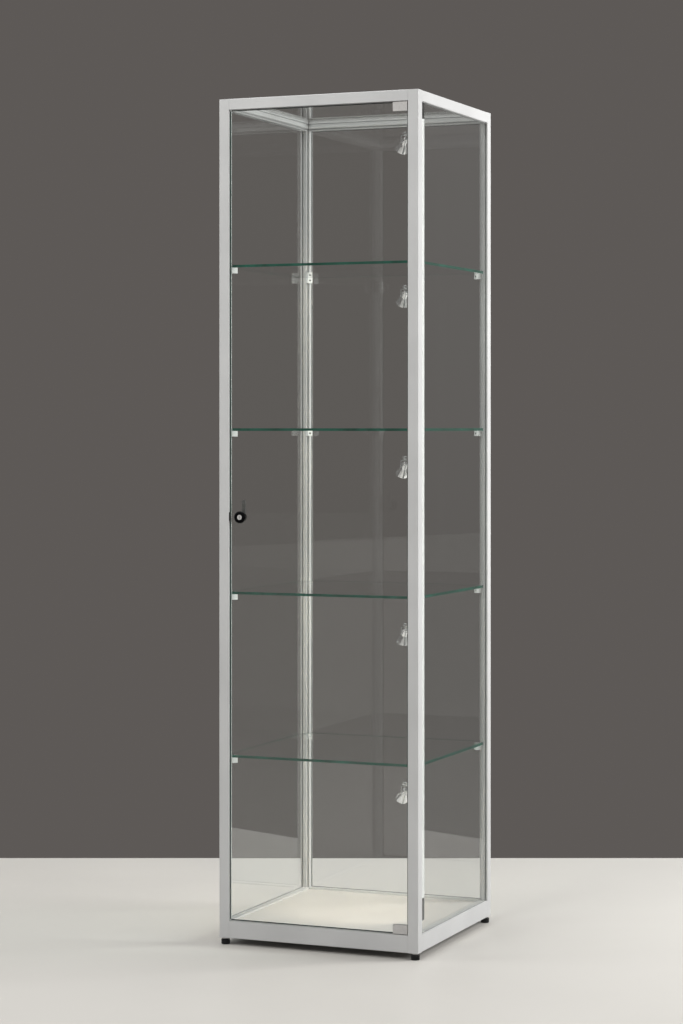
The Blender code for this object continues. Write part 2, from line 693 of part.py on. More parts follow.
def bracket_unions():
    """The rods and blocks that join the yoke to the post, in the spotlight's own axes."""
    stem_z = SPOT_STEM_ABOVE_PIVOT
    flange_x = TOUCH_GAP - SPOT_REACH
    stem_start = (flange_x + SPOT_FLANGE_THICKNESS / 2, 0, stem_z)
    yoke_outside = SPOT_YOKE_INSIDE / 2 + SPOT_YOKE_STRIP
    pin_head_start = yoke_outside - SPOT_YOKE_STRIP / 2
    pin_head_end = yoke_outside + SPOT_PIN_HEAD_THICKNESS
    half_link = SPOT_YOKE_WIDTH / 2 - 0.0004
    meshes = [
        rod_mesh(
            "spot_flange",
            SPOT_FLANGE_RADIUS,
            (flange_x, 0, stem_z),
            (flange_x + SPOT_FLANGE_THICKNESS, 0, stem_z),
            PIN_SIDES,
        ),
        rod_mesh("spot_stem", SPOT_STEM_RADIUS, stem_start, (0, 0, stem_z), PIN_SIDES),
        rod_mesh(
            "spot_knob",
            SPOT_KNOB_RADIUS,
            (-SPOT_KNOB_HALF_LENGTH, 0, stem_z),
            (SPOT_KNOB_HALF_LENGTH, 0, stem_z),
            PIN_SIDES,
        ),
        box_mesh(
            "spot_link",
            (-half_link, -half_link, SPOT_YOKE_TOP + SPOT_YOKE_STRIP / 2),
            (half_link, half_link, stem_z),
        ),
    ]
    for side in (-1, 1):
        meshes.append(
            rod_mesh(
                "spot_pin",
                SPOT_PIN_RADIUS,
                (0, side * SPOT_PIN_INNER, 0),
                (0, side * pin_head_start, 0),
                PIN_SIDES,
            )
        )
        meshes.append(
            rod_mesh(
                "spot_pin_head",
                SPOT_PIN_HEAD_RADIUS,
                (0, side * pin_head_start, 0),
                (0, side * pin_head_end, 0),
                PIN_SIDES,
            )
        )
    return meshes


def bracket_mesh(cutters):
    obj = bpy.data.objects.new("bracket_blank", yoke_mesh())
    bpy.context.scene.collection.objects.link(obj)
    for mesh in bracket_unions():
        add_boolean(obj, mesh, Matrix(), "UNION", cutters)
    mesh = welded_copy(obj, "spot_bracket")
    mesh.transform(Matrix.Translation((0, 0, -SPOT_STEM_ABOVE_PIVOT)))
    shade_round(mesh)
    return mesh


def head_profile():
    """A spotlight's head, with the pivot at the origin and the open rim below: down the outside, and
    back up the inside of the reflector."""
    return [
        (0.0, 0.0110),
        (0.0050, 0.0110),
        (0.0056, 0.0104),
        (0.0056, 0.0075),
        (0.0072, 0.0068),
        (0.0072, -0.0050),
        (0.0100, -0.0110),
        (0.0132, -0.0185),
        (0.0150, -0.0235),
        (0.0150, -0.0240),
        (0.0143, -0.0240),
        (0.0120, -0.0180),
        (0.0086, -0.0115),
        (0.0040, -0.0085),
        (0.0, -0.0080),
    ]


def add_spot(number, one_bracket, parts, cutters):
    """A spotlight: a bracket that swivels on its stem, and a head that tilts in it."""
    pivot = spot_matrix(pivot_height(number))
    stem = pivot @ Matrix.Translation((0, 0, SPOT_STEM_ABOVE_PIVOT))
    add_piece(f"spot_{number}_bracket", one_bracket, stem, "chrome", parts)
    tilt = Matrix.Rotation(math.radians(SPOT_TILTS_DEG[number - 1] - 90), 4, "Y")
    place = pivot @ tilt
    head = turned_object(
        f"spot_{number}_head", head_profile(), False, TURNED_STEPS, place, "chrome", parts
    )
    bore_radius = SPOT_PIN_RADIUS + SPOT_PIN_CLEARANCE
    reach = SPOT_YOKE_INSIDE / 2
    bore = rod_mesh("spot_pin_bore", bore_radius, (0, -reach, 0), (0, reach, 0), PIN_SIDES)
    add_boolean(head, bore, place, "DIFFERENCE", cutters)


def add_feet(parts):
    """Levelling feet, whose studs screw into the posts' cores."""
    rim = 0.0010
    profile = [
        (0.0, FOOT_STUD_TOP),
        (FOOT_STUD_RADIUS, FOOT_STUD_TOP),
        (FOOT_STUD_RADIUS, FOOT_PAD_HEIGHT),
        (FOOT_PAD_RADIUS - rim, FOOT_PAD_HEIGHT),
        (FOOT_PAD_RADIUS, FOOT_PAD_HEIGHT - rim),
        (FOOT_PAD_RADIUS, rim),
        (FOOT_PAD_RADIUS - rim, 0.0),
        (0.0, 0.0),
    ]
    offset = CORE_OFFSET - HALF_SIDE
    at_corner = Matrix.Translation((offset, offset, 0))
    for index, corner in enumerate(CORNERS):
        place = quarter_turn(index) @ at_corner
        turned_object(f"foot_{corner}", profile, False, TURNED_STEPS, place, "black_plastic", parts)


def add_cable_cover(parts):
    """The strip beside the front right post that covers the spotlights' leads."""
    outside = HALF_SIDE - PANE_OUTER - PANE_THICKNESS - TOUCH_GAP
    front = -HALF_SIDE + SECTION_WIDTH + TOUCH_GAP
    low = (outside - COVER_THICKNESS, front, COVER_LOWEST)
    high = (outside, front + COVER_WIDTH, CASE_HEIGHT - COVER_BELOW_TOP)
    add_piece("cable_cover", box_mesh("cable_cover", low, high), Matrix(), "white_plastic", parts)


def build_case():
    clear_scene()
    parts = new_collection("display_case")
    cutters = new_collection("display_case_cutters")
    door_pivot = add_empty("door_pivot", (HINGE_AXIS_X, DOOR_MIDDLE_Y, 0), parts)
    lock_pivot = add_empty("lock_pivot", (LOCK_X, -HALF_SIDE, LOCK_HEIGHT), parts)
    add_posts(parts)
    add_rails(parts)
    add_base_board(parts)
    add_wall_panes(parts)
    add_top_pane(parts)
    add_shelves(parts, cutters)
    add_door_glass(door_pivot, parts, cutters)
    add_hinge("hinge_clamp_top", DOOR_TOP, 1, door_pivot, parts, cutters)
    add_hinge("hinge_clamp_bottom", DOOR_BOTTOM, -1, door_pivot, parts, cutters)
    add_bushes(parts)
    add_lock_housing(door_pivot, parts)
    add_lock_barrel(lock_pivot, parts, cutters)
    add_lock_cam(lock_pivot, parts)
    one_bracket = bracket_mesh(cutters)
    for number in range(1, len(SPOT_HEIGHTS) + 1):
        add_spot(number, one_bracket, parts, cutters)
    add_feet(parts)
    add_cable_cover(parts)


build_case()
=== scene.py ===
"""Looks of the glass display case: finishes, small trim, lamps, studio light and the camera."""

import json
import math

import bmesh
import bpy
from mathutils import Matrix, Vector


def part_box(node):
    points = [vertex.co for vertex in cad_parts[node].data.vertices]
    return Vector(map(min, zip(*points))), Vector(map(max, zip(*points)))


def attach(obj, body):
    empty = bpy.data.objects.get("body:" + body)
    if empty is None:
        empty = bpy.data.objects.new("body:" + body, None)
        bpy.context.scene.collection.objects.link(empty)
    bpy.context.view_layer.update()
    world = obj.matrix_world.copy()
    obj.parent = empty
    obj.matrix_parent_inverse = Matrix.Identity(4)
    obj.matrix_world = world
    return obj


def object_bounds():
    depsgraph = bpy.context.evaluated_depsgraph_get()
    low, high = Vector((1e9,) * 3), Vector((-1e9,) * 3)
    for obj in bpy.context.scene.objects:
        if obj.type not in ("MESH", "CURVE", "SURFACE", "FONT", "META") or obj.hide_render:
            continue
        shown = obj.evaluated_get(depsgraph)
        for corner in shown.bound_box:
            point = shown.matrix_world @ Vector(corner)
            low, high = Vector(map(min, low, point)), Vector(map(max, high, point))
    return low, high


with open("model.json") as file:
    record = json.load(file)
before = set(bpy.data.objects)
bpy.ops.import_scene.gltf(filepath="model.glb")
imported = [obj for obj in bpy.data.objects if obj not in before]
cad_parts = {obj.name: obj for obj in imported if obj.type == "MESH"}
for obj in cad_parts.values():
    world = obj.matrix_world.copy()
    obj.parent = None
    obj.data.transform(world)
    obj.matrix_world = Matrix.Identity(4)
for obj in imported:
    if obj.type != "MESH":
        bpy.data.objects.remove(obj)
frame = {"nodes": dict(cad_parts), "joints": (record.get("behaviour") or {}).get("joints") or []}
cad_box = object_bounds()
case_low, case_high = (Vector(corner) for corner in cad_box)
case_height = case_high.z
nodes = frame["nodes"]
joints = {joint["name"]: joint for joint in frame["joints"]}

CORNERS = {"front_left": (-1, -1), "front_right": (1, -1), "rear_right": (1, 1), "rear_left": (-1, 1)}
SHELVES = (1, 2, 3, 4)
SPOTS = (1, 2, 3, 4, 5)

# Camera, as the photographer stood: to the right of the door's middle, lens level.
CAMERA_PLACE_DEG = 22.23
CAMERA_AIM_DEG = 22.60
CAMERA_DISTANCE = 6.142
CAMERA_HEIGHT = 1.217
CAMERA_LENS_MM = 89.9
CAMERA_SHIFT_Y = -0.084

# Studio.
FLOOR_BEHIND = 1.06
FLOOR_WIDTH = 30.0
FLOOR_LENGTH = 30.0
BACKGROUND = (0.110, 0.100, 0.094)
# The room's brightness from straight down (0) over the horizon (0.5) to straight up (1).
ROOM_LEVELS = ((0.0, 0.20), (0.47, 0.12), (0.56, 0.22), (0.75, 0.45), (0.93, 0.60), (0.97, 3.0))

# Small trim, in metres.
HAIRLINE = 0.0002
CLIP_HALF_WIDTH = 0.00625
SCREW_HEAD_RADIUS = 0.0022
SCREW_HEAD_LENGTH = 0.0026
SEAL_THICKNESS = 0.0004
SEAL_REACH = 0.0011
SEAL_FACE_GAP = 0.00002
DOOR_STRIP_HALF_WIDTH = 0.0016
DOOR_STRIP_GAP = 0.0001
DOOR_STRIP_ACROSS = 0.0024
DOOR_STRIP_UPRIGHT = 0.0020
LOCK_NUT_RADIUS = 0.0128
LOCK_NUT_HOLE_RADIUS = 0.0091
LOCK_NUT_HEIGHT = 0.005
STRIKE_HEIGHT = 0.020
STRIKE_RAISED = 0.0016
STRIKE_THICKNESS = 0.0008
HINGE_SCREW_RADIUS = 0.0026
HINGE_SCREW_INSET = 0.0105
FOOT_NUT_RADIUS = 0.0074
FOOT_NUT_HOLE_RADIUS = 0.0042
FOOT_NUT_HEIGHT = 0.0034
COVER_CAP_HEIGHT = 0.038
COVER_FOOT_HEIGHT = 0.051

# Spotlights: sizes, and distances from the head's pivot along its beam.
LAMP_DOME_RADIUS = 0.0050
LENS_RADIUS = 0.0130
DOME_FROM_PIVOT = 0.0105
LENS_FROM_PIVOT = 0.0205
LIGHT_FROM_PIVOT = 0.0265
LAMP_WATTS = 3.2
LAMP_COLOUR = (1.0, 0.87, 0.70)
LAMP_BEAM_DEG = 62


# Building materials.


class Surface:
    """A material under construction: its node tree and its main shader."""

    def __init__(self, name):
        self.material = bpy.data.materials.new(name)
        self.material.use_nodes = True
        self.tree = self.material.node_tree
        self.shader = self.tree.nodes["Principled BSDF"]
        self.coordinates = self.tree.nodes.new("ShaderNodeTexCoord")

    def node(self, kind, **inputs):
        """A new node with the named inputs set to a number, or linked to a socket."""
        made = self.tree.nodes.new(kind)
        for name, value in inputs.items():
            self.feed(made.inputs[name.replace("_", " ")], value)
        return made

    def feed(self, socket, value):
        if isinstance(value, bpy.types.NodeSocket):
            self.tree.links.new(value, socket)
        else:
            socket.default_value = value

    def set(self, **inputs):
        for name, value in inputs.items():
            self.feed(self.shader.inputs[name.replace("_", " ")], value)

    def noise(self, scale, detail=3.0, stretch=(1.0, 1.0, 1.0)):
        """Noise over the object's own coordinates, drawn out where stretch is small."""
        mapping = self.node("ShaderNodeMapping", Vector=self.coordinates.outputs["Object"])
        mapping.inputs["Scale"].default_value = stretch
        texture = self.node("ShaderNodeTexNoise", Scale=scale, Detail=detail)
        self.tree.links.new(mapping.outputs["Vector"], texture.inputs["Vector"])
        return texture.outputs["Fac"]

    def spread(self, factor, low, high):
        """A factor around one half, turned into numbers from low to high."""
        ranged = self.node("ShaderNodeMapRange", Value=factor)
        ranged.inputs["From Min"].default_value = 0.3
        ranged.inputs["From Max"].default_value = 0.7
        ranged.inputs["To Min"].default_value = low
        ranged.inputs["To Max"].default_value = high
        return ranged.outputs["Result"]

    def colours(self, factor, dark, light):
        ramp = self.node("ShaderNodeValToRGB", Fac=factor)
        ramp.color_ramp.elements[0].position = 0.3
        ramp.color_ramp.elements[0].color = (*dark, 1.0)
        ramp.color_ramp.elements[1].position = 0.7
        ramp.color_ramp.elements[1].color = (*light, 1.0)
        return ramp.outputs["Color"]

    def bump(self, height, distance, strength=0.3):
        node = self.node("ShaderNodeBump", Height=height, Distance=distance, Strength=strength)
        return node.outputs["Normal"]

    def edge_factor(self, axis):
        """1 on the narrow edges of a sheet of glass whose thickness is along axis, and 0 on its faces."""
        parts = self.node("ShaderNodeSeparateXYZ", Vector=self.coordinates.outputs["Normal"])
        size = self.node("ShaderNodeMath")
        size.operation = "ABSOLUTE"
        self.tree.links.new(parts.outputs[axis], size.inputs[0])
        edge = self.node("ShaderNodeMath")
        edge.operation = "LESS_THAN"
        edge.inputs[1].default_value = 0.5
        self.tree.links.new(size.outputs[0], edge.inputs[0])
        return edge.outputs[0]


def anodised_aluminium(name, run):
    """Satin anodised extrusion, with faint die lines along run."""
    surface = Surface(name)
    stretch = [1.0, 1.0, 1.0]
    stretch["XYZ".index(run)] = 0.006
    lines = surface.noise(900.0, 4.0, stretch)
    clouds = surface.noise(7.0, 2.0)
    surface.set(
        Base_Color=surface.colours(clouds, (0.66, 0.66, 0.655), (0.72, 0.72, 0.715)),
        Metallic=0.4,
        Roughness=surface.spread(lines, 0.34, 0.46),
        Normal=surface.bump(lines, 0.00004, 0.25),
    )
    return surface.material


def clear_glass(name, axis):
    """Float glass: clear faces with a trace of green, and dark green edges. Lamps shine through it."""
    surface = Surface(name)
    tint = surface.noise(3.0, 2.0)
    surface.set(
        Base_Color=surface.colours(tint, (0.978, 0.992, 0.984), (0.990, 0.998, 0.993)),
        Transmission_Weight=1.0,
        IOR=1.5,
        Roughness=0.0,
    )
    edge = surface.node("ShaderNodeBsdfPrincipled")
    depth = surface.noise(26.0, 2.0)
    edge_colour = surface.colours(depth, (0.005, 0.045, 0.030), (0.014, 0.095, 0.066))
    surface.feed(edge.inputs["Base Color"], edge_colour)
    surface.feed(edge.inputs["Roughness"], surface.spread(depth, 0.12, 0.22))
    surface.feed(edge.inputs["Coat Weight"], 0.4)
    sheet = surface.node("ShaderNodeMixShader", Fac=surface.edge_factor(axis))
    surface.tree.links.new(surface.shader.outputs[0], sheet.inputs[1])
    surface.tree.links.new(edge.outputs[0], sheet.inputs[2])
    light_path = surface.node("ShaderNodeLightPath")
    open_to_lamps = surface.node("ShaderNodeBsdfTransparent", Color=(0.965, 0.980, 0.970, 1.0))
    output = surface.tree.nodes["Material Output"]
    mix = surface.node("ShaderNodeMixShader", Fac=light_path.outputs["Is Shadow Ray"])
    surface.tree.links.new(sheet.outputs[0], mix.inputs[1])
    surface.tree.links.new(open_to_lamps.outputs[0], mix.inputs[2])
    surface.tree.links.new(mix.outputs[0], output.inputs["Surface"])
    return surface.material


def white_laminate(name):
    """Melamine board: warm white, with a fine pearl texture."""
    surface = Surface(name)
    pearl = surface.noise(650.0, 4.0)
    clouds = surface.noise(5.0, 2.0)
    surface.set(
        Base_Color=surface.colours(clouds, (0.55, 0.525, 0.50), (0.60, 0.575, 0.55)),
        Roughness=surface.spread(pearl, 0.38, 0.52),
        Normal=surface.bump(pearl, 0.0001, 0.2),
    )
    return surface.material


def moulded_plastic(name, dark, light, roughness):
    """Plastic or rubber with a fine moulded grain."""
    surface = Surface(name)
    grain = surface.noise(1800.0, 3.0)
    clouds = surface.noise(60.0, 2.0)
    surface.set(
        Base_Color=surface.colours(clouds, dark, light),
        Roughness=surface.spread(grain, roughness - 0.05, roughness + 0.07),
        Normal=surface.bump(grain, 0.00005, 0.25),
    )
    return surface.material


def polished_metal(name, dark, light, roughness, metallic=1.0):
    """Plated or turned metal, with faint polishing marks. Under 1, metallic gives it a milky sheen."""
    surface = Surface(name)
    marks = surface.noise(1400.0, 4.0, (1.0, 1.0, 0.15))
    haze = surface.noise(220.0, 2.0)
    surface.set(
        Base_Color=surface.colours(haze, dark, light),
        Metallic=metallic,
        Roughness=surface.spread(marks, roughness * 0.7, roughness * 1.4),
        Normal=surface.bump(marks, 0.00002, 0.15),
    )
    return surface.material


def lamp_glow(name, strength):
    """The warm phosphor of a small lamp."""
    surface = Surface(name)
    speckle = surface.noise(900.0, 2.0)
    glow = surface.colours(speckle, (1.0, 0.80, 0.52), (1.0, 0.86, 0.62))
    surface.set(Base_Color=glow, Emission_Color=glow, Emission_Strength=strength, Roughness=0.3)
    return surface.material


# Building meshes.


def place_mesh(name, bm, matrix, material, body, smooth=False):
    """Turn mesh code into a piece that rides on a body."""
    bmesh.ops.recalc_face_normals(bm, faces=bm.faces)
    mesh = bpy.data.meshes.new(name)
    bm.to_mesh(mesh)
    bm.free()
    if smooth:
        mesh.shade_smooth()
        mesh.set_sharp_from_angle(angle=math.radians(35))
    mesh.materials.append(material)
    piece = bpy.data.objects.new(name, mesh)
    bpy.context.scene.collection.objects.link(piece)
    piece.matrix_world = matrix
    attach(piece, body)
    return piece


def bevelled_box(low, high, radius):
    bm = bmesh.new()
    low, high = Vector(low), Vector(high)
    size = high - low
    place = Matrix.Translation((low + high) / 2) @ Matrix.Diagonal((*size, 1.0))
    bmesh.ops.create_cube(bm, size=1.0, matrix=place)
    bmesh.ops.bevel(bm, geom=bm.edges[:], offset=radius, segments=2, affect="EDGES", profile=0.5)
    return bm


def turned(profile, steps=32):
    """A solid turned about Z from (radius, height) points that start and end on the axis."""
    bm = bmesh.new()
    rings = []
    for radius, height in profile:
        if radius == 0.0:
            rings.append([bm.verts.new((0.0, 0.0, height))])
            continue
        ring = []
        for step in range(steps):
            angle = 2 * math.pi * step / steps
            ring.append(bm.verts.new((radius * math.cos(angle), radius * math.sin(angle), height)))
        rings.append(ring)
    for first, second in zip(rings, rings[1:]):
        for step in range(steps):
            following = (step + 1) % steps
            face = [
                first[step % len(first)],
                first[following % len(first)],
                second[following % len(second)],
                second[step % len(second)],
            ]
            corners = [vert for index, vert in enumerate(face) if vert not in face[:index]]
            bm.faces.new(corners)
    return bm


def ring_prism(outer_radius, sides, hole_radius, height, bevel):
    """A nut: a prism with a round hole. The bevel is a share of the outer radius."""
    bm = bmesh.new()
    steps = 24
    rings = [
        (1.0 - bevel, 0.0, False),
        (1.0, bevel * outer_radius, False),
        (1.0, height - bevel * outer_radius, False),
        (1.0 - bevel, height, False),
        (hole_radius, height, True),
        (hole_radius, 0.0, True),
    ]
    loops = []
    for radius, z, is_hole in rings:
        loop = []
        for step in range(steps):
            angle = 2 * math.pi * step / steps
            if is_hole:
                reach = radius
            else:
                within = (angle % (2 * math.pi / sides)) - math.pi / sides
                reach = outer_radius * radius * math.cos(math.pi / sides) / math.cos(within)
            loop.append(bm.verts.new((reach * math.cos(angle), reach * math.sin(angle), z)))
        loops.append(loop)
    for first, second in zip(loops, loops[1:] + loops[:1]):
        for step in range(steps):
            following = (step + 1) % steps
            bm.faces.new((first[step], first[following], second[following], second[step]))
    return bm


def towards(direction, location):
    """A placement at location whose Z axis points along direction."""
    return Matrix.Translation(location) @ Vector(direction).to_track_quat("Z", "Y").to_matrix().to_4x4()


# Finishes of the CAD nodes.


def paint(material, *names):
    """Put a material on every slot of the named CAD nodes."""
    for name in names:
        for slot in nodes[name].material_slots:
            slot.link = "OBJECT"
            slot.material = material


def paint_case():
    """Finish every CAD node, and return the two finishes that the trim shares."""
    posts = [f"{corner}_post" for corner in CORNERS]
    paint(anodised_aluminium("aluminium_upright", "Z"), *posts)
    across = anodised_aluminium("aluminium_across", "X")
    deep = anodised_aluminium("aluminium_deep", "Y")
    for level in ("top", "bottom"):
        paint(across, f"{level}_rail_front", f"{level}_rail_rear")
        paint(deep, f"{level}_rail_left", f"{level}_rail_right")
    paint(clear_glass("glass_facing_front", "Y"), "glass_door", "glass_rear")
    paint(clear_glass("glass_facing_side", "X"), "glass_left", "glass_right")
    flat_glass = clear_glass("glass_lying_flat", "Z")
    paint(flat_glass, "glass_top")
    paint(white_laminate("laminate_white"), "base_board")
    white = moulded_plastic("plastic_white", (0.74, 0.74, 0.73), (0.80, 0.80, 0.79), 0.38)
    paint(white, "cable_cover")
    for shelf in SHELVES:
        paint(flat_glass, f"shelf_{shelf}")
        paint(white, *[f"shelf_{shelf}_clip_{corner}" for corner in CORNERS])
    satin = polished_metal("satin_nickel", (0.62, 0.60, 0.58), (0.69, 0.67, 0.65), 0.38, 0.45)
    paint(satin, "hinge_clamp_top", "hinge_clamp_bottom", "lock_barrel")
    nickel = polished_metal("black_nickel", (0.018, 0.018, 0.019), (0.035, 0.035, 0.037), 0.22)
    paint(nickel, "lock_housing")
    paint(polished_metal("zinc_plate", (0.20, 0.195, 0.19), (0.25, 0.245, 0.24), 0.42, 0.7), "lock_cam")
    chrome = polished_metal("bright_chrome", (0.86, 0.86, 0.87), (0.94, 0.94, 0.95), 0.08, 0.93)
    for spot in SPOTS:
        paint(chrome, f"spot_{spot}_bracket", f"spot_{spot}_head")
    black = moulded_plastic("plastic_black", (0.008, 0.008, 0.008), (0.018, 0.018, 0.018), 0.17)
    paint(black, "hinge_bush_top", "hinge_bush_bottom", *[f"foot_{corner}" for corner in CORNERS])
    return black, satin


# Small trim.


def add_clip_screws(material):
    """A dark countersunk screw with a round recess in the end of every clip."""
    inset = CLIP_HALF_WIDTH * math.sqrt(0.5)
    for shelf in SHELVES:
        for corner, (sign_x, sign_y) in CORNERS.items():
            low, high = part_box(f"shelf_{shelf}_clip_{corner}")
            inner_x = low.x if sign_x > 0 else high.x
            inner_y = low.y if sign_y > 0 else high.y
            face = Vector((inner_x + sign_x * inset, inner_y + sign_y * inset, (low.z + high.z) / 2))
            inward = Vector((-sign_x, -sign_y, 0.0)).normalized()
            radius = SCREW_HEAD_RADIUS
            head = turned(
                [
                    (0.0, -SCREW_HEAD_LENGTH),
                    (radius * 0.8, -SCREW_HEAD_LENGTH),
                    (radius, -0.0008),
                    (radius * 0.82, -0.0003),
                    (radius * 0.36, -0.0002),
                    (radius * 0.30, -0.0012),
                    (0.0, -0.0015),
                ],
                20,
            )
            name = f"clip_screw_{shelf}_{corner}"
            piece = place_mesh(name, head, towards(inward, face), material, f"shelf_{shelf}", smooth=True)


def seal_frame(low, high, axis, at):
    """A flat rectangular ring round a pane's clear opening. axis is the pane's thickness axis, and at the
    ring's low and high coordinate on it."""
    bm = bmesh.new()
    first, second = [index for index in range(3) if index != axis]
    loops = []
    for inset in (0.0, SEAL_REACH):
        along_first = (low[first] + inset, high[first] - inset)
        along_second = (low[second] + inset, high[second] - inset)
        for level in at:
            loop = []
            for first_end, second_end in ((0, 0), (1, 0), (1, 1), (0, 1)):
                point = [0.0, 0.0, 0.0]
                point[axis] = level
                point[first] = along_first[first_end]
                point[second] = along_second[second_end]
                loop.append(bm.verts.new(point))
            loops.append(loop)
    outer_near, outer_far, inner_near, inner_far = loops
    around = (outer_near, outer_far, inner_far, inner_near)
    for here, there in zip(around, around[1:] + around[:1]):
        for step in range(4):
            following = (step + 1) % 4
            bm.faces.new((here[step], here[following], there[following], there[step]))
    return bm


def add_seals(material):
    """Thin rubber lips where the panes enter the frame, on both faces of each pane."""
    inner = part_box("top_rail_front")[0].x
    rail_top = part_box("bottom_rail_front")[1].z
    rail_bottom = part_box("top_rail_front")[0].z
    for name in ("glass_right", "glass_left", "glass_rear", "glass_top"):
        low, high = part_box(name)
        size = high - low
        axis = min(range(3), key=lambda index: size[index])
        opening_low = [inner, inner, rail_top]
        opening_high = [-inner, -inner, rail_bottom]
        for face, start in (("outer", high[axis]), ("inner", low[axis] - SEAL_THICKNESS)):
            at = (start + SEAL_FACE_GAP, start + SEAL_THICKNESS - SEAL_FACE_GAP)
            ring = seal_frame(opening_low, opening_high, axis, at)
            piece = place_mesh(f"seal_{name}_{face}", ring, Matrix(), material, "frame")


def add_door_gap_shade(material):
    """Dark strips along the door's top, bottom and lock-side edges, up to the hinge clamps: painted shade
    of the gaps round the door, put in as thin near-black bodies that ride on the door.
    """
    low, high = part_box("glass_door")
    middle_y = (low.y + high.y) / 2
    near = middle_y - DOOR_STRIP_HALF_WIDTH
    far = middle_y + DOOR_STRIP_HALF_WIDTH
    gap = DOOR_STRIP_GAP
    clamp_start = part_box("hinge_clamp_top")[0].x - 0.0006
    strips = {
        "top": ((low.x, near, high.z + gap), (clamp_start, far, high.z + DOOR_STRIP_ACROSS)),
        "bottom": ((low.x, near, low.z - DOOR_STRIP_ACROSS), (clamp_start, far, low.z - gap)),
        "lock_side": ((low.x - DOOR_STRIP_UPRIGHT, near, low.z), (low.x - gap, far, high.z)),
    }
    for side, (start, end) in strips.items():
        strip = bevelled_box(start, end, 0.0004)
        place_mesh(f"door_gap_shade_{side}", strip, Matrix(), material, "door")


def add_lock_trim(material):
    """The nut that holds the lock behind the door, and the strike plate on the left post."""
    housing_low, housing_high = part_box("lock_housing")
    door_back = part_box("glass_door")[1].y
    middle = (housing_low + housing_high) / 2
    nut = ring_prism(LOCK_NUT_RADIUS, 6, LOCK_NUT_HOLE_RADIUS, LOCK_NUT_HEIGHT, 0.06)
    place = towards((0, 1, 0), (middle.x, door_back + 0.0004, middle.z))
    place_mesh("lock_nut", nut, place, material, "door")
    post_low, post_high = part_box("front_left_post")
    low = (post_high.x, post_low.y + 0.0006, middle.z - STRIKE_HEIGHT / 2 + STRIKE_RAISED)
    high = (
        post_high.x + STRIKE_THICKNESS,
        post_low.y + 0.0036,
        middle.z + STRIKE_HEIGHT / 2 + STRIKE_RAISED,
    )
    strike = bevelled_box(low, high, HAIRLINE)
    place_mesh("lock_strike", strike, Matrix(), material, "frame")


def add_hinge_screws(material):
    """Two set screws in the back plate of each hinge clamp."""
    for level in ("top", "bottom"):
        low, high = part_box(f"hinge_clamp_{level}")
        door_low, door_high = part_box("glass_door")
        edge = door_high.z if level == "top" else door_low.z
        inward = -1 if level == "top" else 1
        height = edge + inward * HINGE_SCREW_INSET
        for index, share in enumerate((0.24, 0.72)):
            x = low.x + (high.x - low.x) * share
            screw = turned(
                [
                    (0.0, HAIRLINE),
                    (HINGE_SCREW_RADIUS, HAIRLINE),
                    (HINGE_SCREW_RADIUS, 0.0006),
                    (0.0022, 0.0009),
                    (0.0011, 0.0009),
                    (0.0010, 0.0003),
                    (0.0, 0.0003),
                ],
                18,
            )
            place = towards((0, 1, 0), (x, high.y - 0.0001, height))
            name = f"hinge_screw_{level}_{index + 1}"
            piece = place_mesh(name, screw, place, material, "door", smooth=True)


def add_foot_nuts(material):
    """A lock nut on each foot's stud, under the post."""
    post_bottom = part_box("front_left_post")[0].z
    for corner in CORNERS:
        low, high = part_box(f"foot_{corner}")
        middle = (low + high) / 2
        nut = ring_prism(FOOT_NUT_RADIUS, 6, FOOT_NUT_HOLE_RADIUS, FOOT_NUT_HEIGHT, 0.07)
        place = Matrix.Translation((middle.x, middle.y, post_bottom - 0.0038))
        place_mesh(f"foot_nut_{corner}", nut, place, material, "frame")


def add_cover_ends(material):
    """Black ends above and below the cable cover."""
    low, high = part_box("cable_cover")
    rail_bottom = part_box("top_rail_right")[0].z
    spans = {
        "top": (high.z + HAIRLINE, min(high.z + COVER_CAP_HEIGHT, rail_bottom - HAIRLINE)),
        "bottom": (low.z - COVER_FOOT_HEIGHT, low.z - HAIRLINE),
    }
    for end, (start, stop) in spans.items():
        near = (low.x - 0.0004, low.y - HAIRLINE, start)
        far = (high.x, high.y + 0.0004, stop)
        block = bevelled_box(near, far, 0.0005)
        place_mesh(f"cable_cover_end_{end}", block, Matrix(), material, "frame")


def head_axis(spot):
    """A spotlight head's pivot, and the direction that it shines in, from its farthest ring of vertices."""
    pivot = Vector(joints[f"spot_{spot}_tilt"]["pos_m"])
    points = [vertex.co for vertex in nodes[f"spot_{spot}_head"].data.vertices]
    farthest = max((point - pivot).length for point in points)
    rim = [point for point in points if (point - pivot).length > farthest - 0.0003]
    middle = sum(rim, Vector()) / len(rim)
    return pivot, (middle - pivot).normalized()


